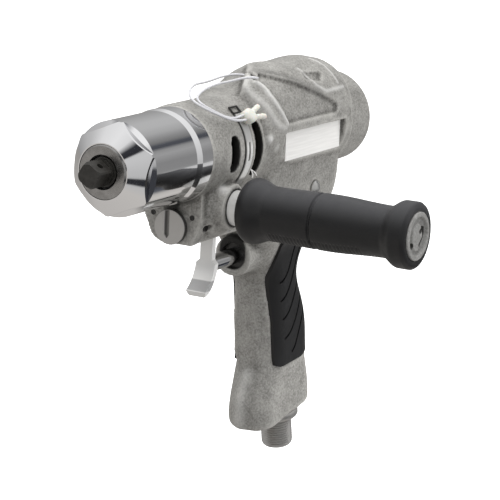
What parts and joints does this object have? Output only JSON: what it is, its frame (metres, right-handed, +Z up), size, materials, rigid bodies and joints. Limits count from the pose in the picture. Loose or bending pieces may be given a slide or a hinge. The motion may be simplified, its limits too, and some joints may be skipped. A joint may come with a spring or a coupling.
{
  "type": "air screwdriver",
  "caption": "Pistol-grip pneumatic torque screwdriver with a square drive, planetary gear and vane motor, adjustable clutch, change-over selector, trigger and side handle.",
  "frame": {"origin": "on the spindle axis, in the plane of the front ring's face, where the square drive begins", "axes": "+X forward along the spindle, +Y to the tool's left (side handle), +Z up"},
  "size_m": [0.2353, 0.1488, 0.21],
  "materials": {
    "black_steel": "black oxide, satin",
    "satin_steel": "satin plated steel",
    "chrome": "polished chrome plate",
    "hard_steel": "ground hardened steel",
    "spring_steel": "oiled spring steel",
    "motor_iron": "machined iron",
    "bronze": "sintered bronze",
    "cast_aluminium": "bead-blasted casting",
    "plate_aluminium": "bare satin plate",
    "black_rubber": "satin moulded rubber",
    "vane_plastic": "fabric-filled resin",
    "seal_plastic": "off-white moulded plastic",
    "cord": "white glossy monofilament"
  },
  "bodies": {
    "housing": {"main_housing": "cast_aluminium", "front_ring": "satin_steel", "nose_cap": "chrome", "spindle_bush": "bronze", "barrel_ring": "chrome", "ring_gear": "hard_steel", "front_plate": "motor_iron", "front_bearing": "hard_steel", "cylinder_liner": "motor_iron", "rear_plate": "motor_iron", "rear_bearing": "hard_steel", "rear_cover": "cast_aluminium", "cover_seal": "black_rubber", "nameplate": "plate_aluminium", "side_plug": "satin_steel", "window_band": "satin_steel", "band_buckle": "black_steel", "detent_ball": "hard_steel", "detent_spring": "spring_steel", "detent_screw": "black_steel", "trigger_pin": "satin_steel", "throttle_bush": "bronze", "throttle_spring": "spring_steel", "grip_panel_left": "black_rubber", "grip_panel_right": "black_rubber", "inlet_nipple": "satin_steel", "inlet_strainer": "bronze", "exhaust_muffler": "bronze", "handle_stud": "satin_steel", "handle_grip": "black_rubber", "handle_cap": "chrome", "cord_seal": "seal_plastic", "seal_cord": "cord"},
    "drive": {"spindle": "black_steel", "clutch_shaft": "hard_steel", "planet_carrier": "hard_steel", "planet_pins": "hard_steel", "thrust_washer": "satin_steel", "main_spring": "spring_steel"},
    "clutch": {"clutch_plate": "hard_steel", "clutch_balls": "hard_steel"},
    "adjuster": {"adjusting_ring": "black_steel"},
    "seat": {"spring_seat": "satin_steel"},
    "rotor": {"rotor": "hard_steel", "vanes": "vane_plastic"},
    "planet_1": {"planet_gear_1": "hard_steel"},
    "planet_2": {"planet_gear_2": "hard_steel"},
    "planet_3": {"planet_gear_3": "hard_steel"},
    "trigger": {"trigger": "chrome"},
    "plunger": {"throttle_plunger": "chrome"},
    "selector": {"selector_valve": "chrome"}
  },
  "joints": [
    {"name": "drive_spin", "type": "hinge", "parent": "housing", "child": "drive", "pos_m": [0, 0, 0], "axis": [1, 0, 0], "continuous": true},
    {"name": "clutch_slide", "type": "slide", "parent": "drive", "child": "clutch", "axis": [-1, 0, 0], "range_m": [0, 0.0018], "stiffness_N_per_m": 2000, "springref_m": -0.003, "deforming": ["main_spring"]},
    {"name": "adjust_turn", "type": "hinge", "parent": "drive", "child": "adjuster", "pos_m": [0, 0, 0], "axis": [1, 0, 0], "range_deg": [0, 270]},
    {"name": "seat_slide", "type": "slide", "parent": "drive", "child": "seat", "axis": [1, 0, 0], "range_m": [0, 0.001], "deforming": ["main_spring"]},
    {"name": "rotor_spin", "type": "hinge", "parent": "housing", "child": "rotor", "pos_m": [0, 0, 0], "axis": [1, 0, 0], "continuous": true},
    {"name": "planet_1_spin", "type": "hinge", "parent": "drive", "child": "planet_1", "pos_m": [0, 0, 0.0108], "axis": [1, 0, 0], "continuous": true},
    {"name": "planet_2_spin", "type": "hinge", "parent": "drive", "child": "planet_2", "pos_m": [0, -0.00935, -0.0054], "axis": [1, 0, 0], "continuous": true},
    {"name": "planet_3_spin", "type": "hinge", "parent": "drive", "child": "planet_3", "pos_m": [0, 0.00935, -0.0054], "axis": [1, 0, 0], "continuous": true},
    {"name": "trigger_pull", "type": "hinge", "parent": "housing", "child": "trigger", "pos_m": [-0.0975, 0, -0.041], "axis": [0, 1, 0], "range_deg": [0, 14], "stiffness_Nm_per_rad": 0.3, "springref_deg": -17.19},
    {"name": "plunger_slide", "type": "slide", "parent": "housing", "child": "plunger", "axis": [-1, 0, 0], "range_m": [0, 0.0048], "deforming": ["throttle_spring"]},
    {"name": "selector_turn", "type": "hinge", "parent": "housing", "child": "selector", "pos_m": [-0.063, 0, -0.03535], "axis": [1, 0, 0], "range_deg": [-60, 60]}
  ],
  "couplings": [
    {"joint": "seat_slide", "follows": "adjust_turn", "m_per_rad": 0.00021199},
    {"joint": "rotor_spin", "follows": "drive_spin", "ratio": 4.5},
    {"joint": "planet_1_spin", "follows": "drive_spin", "ratio": -2.8},
    {"joint": "planet_2_spin", "follows": "drive_spin", "ratio": -2.8},
    {"joint": "planet_3_spin", "follows": "drive_spin", "ratio": -2.8},
    {"joint": "plunger_slide", "follows": "trigger_pull", "m_per_rad": 0.0195}
  ]
}
